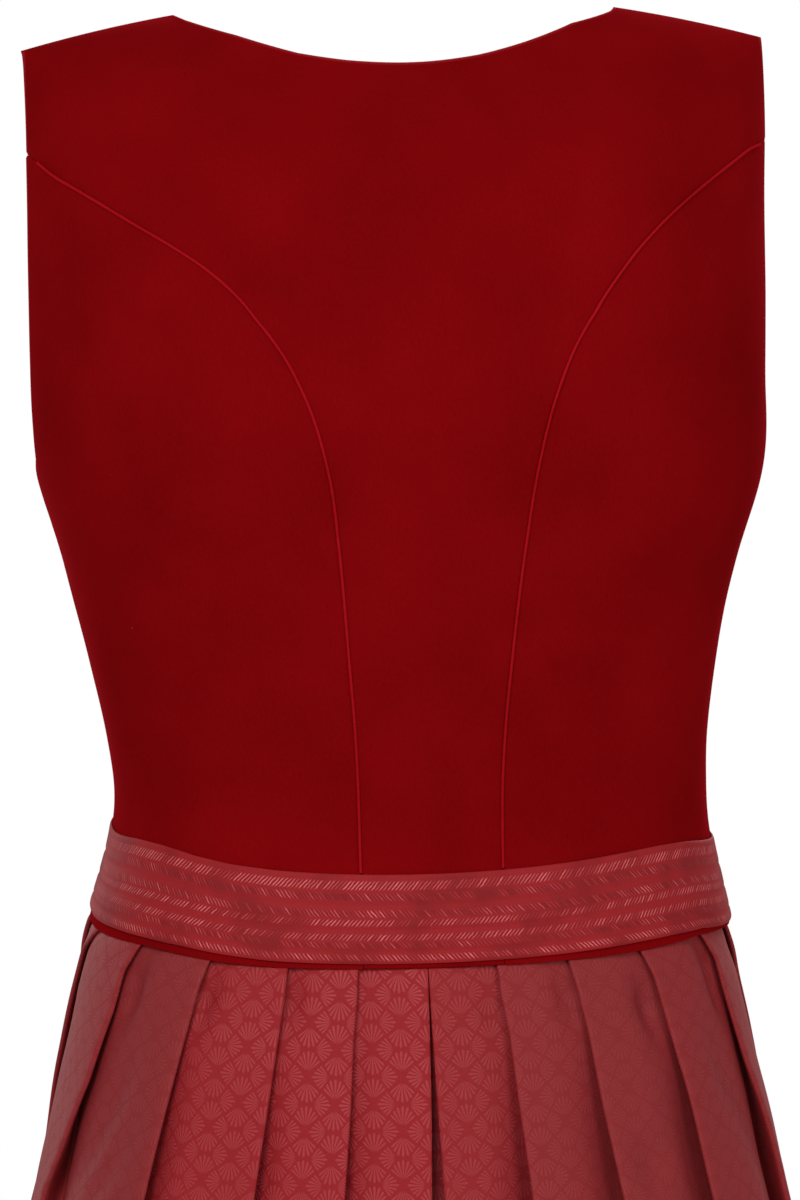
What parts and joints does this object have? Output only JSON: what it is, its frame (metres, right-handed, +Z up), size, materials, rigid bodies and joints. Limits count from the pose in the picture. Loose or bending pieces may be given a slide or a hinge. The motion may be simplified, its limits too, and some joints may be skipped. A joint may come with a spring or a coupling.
{
  "type": "dirndl dress",
  "caption": "Sleeveless velvet dirndl with princess seams, a chevron jacquard waistband, a button placket and a knife-pleated jacquard skirt, hollow as worn.",
  "frame": {"origin": "midway between the two shoulder seams, at the height of their middle", "axes": "+Z up, the front of the dress faces -Y, the wearer's left is +X"},
  "size_m": [0.598, 0.4918, 1.099],
  "materials": {
    "velvet": "deep red cotton velvet, soft pile",
    "velvet_piping": "velvet piping, slightly lighter",
    "band_jacquard": "satin jacquard with woven chevron rows",
    "skirt_jacquard": "tone-on-tone jacquard with small petal rosettes",
    "button_metal": "antique metal, low dome"
  },
  "bodies": {
    "root": {"back_centre": "velvet", "back_side_left": "velvet", "back_side_right": "velvet", "front_side_left": "velvet", "front_side_right": "velvet", "front_centre_left": "velvet", "front_centre_right": "velvet", "front_placket": "velvet", "seam_piping_left": "velvet_piping", "seam_piping_right": "velvet_piping", "waistband": "band_jacquard", "skirt_back": "skirt_jacquard", "skirt_front_left": "skirt_jacquard", "skirt_front_right": "skirt_jacquard", "button_1": "button_metal", "button_2": "button_metal", "button_3": "button_metal", "button_4": "button_metal", "button_5": "button_metal", "button_6": "button_metal", "button_7": "button_metal", "button_8": "button_metal"}
  },
  "joints": []
}
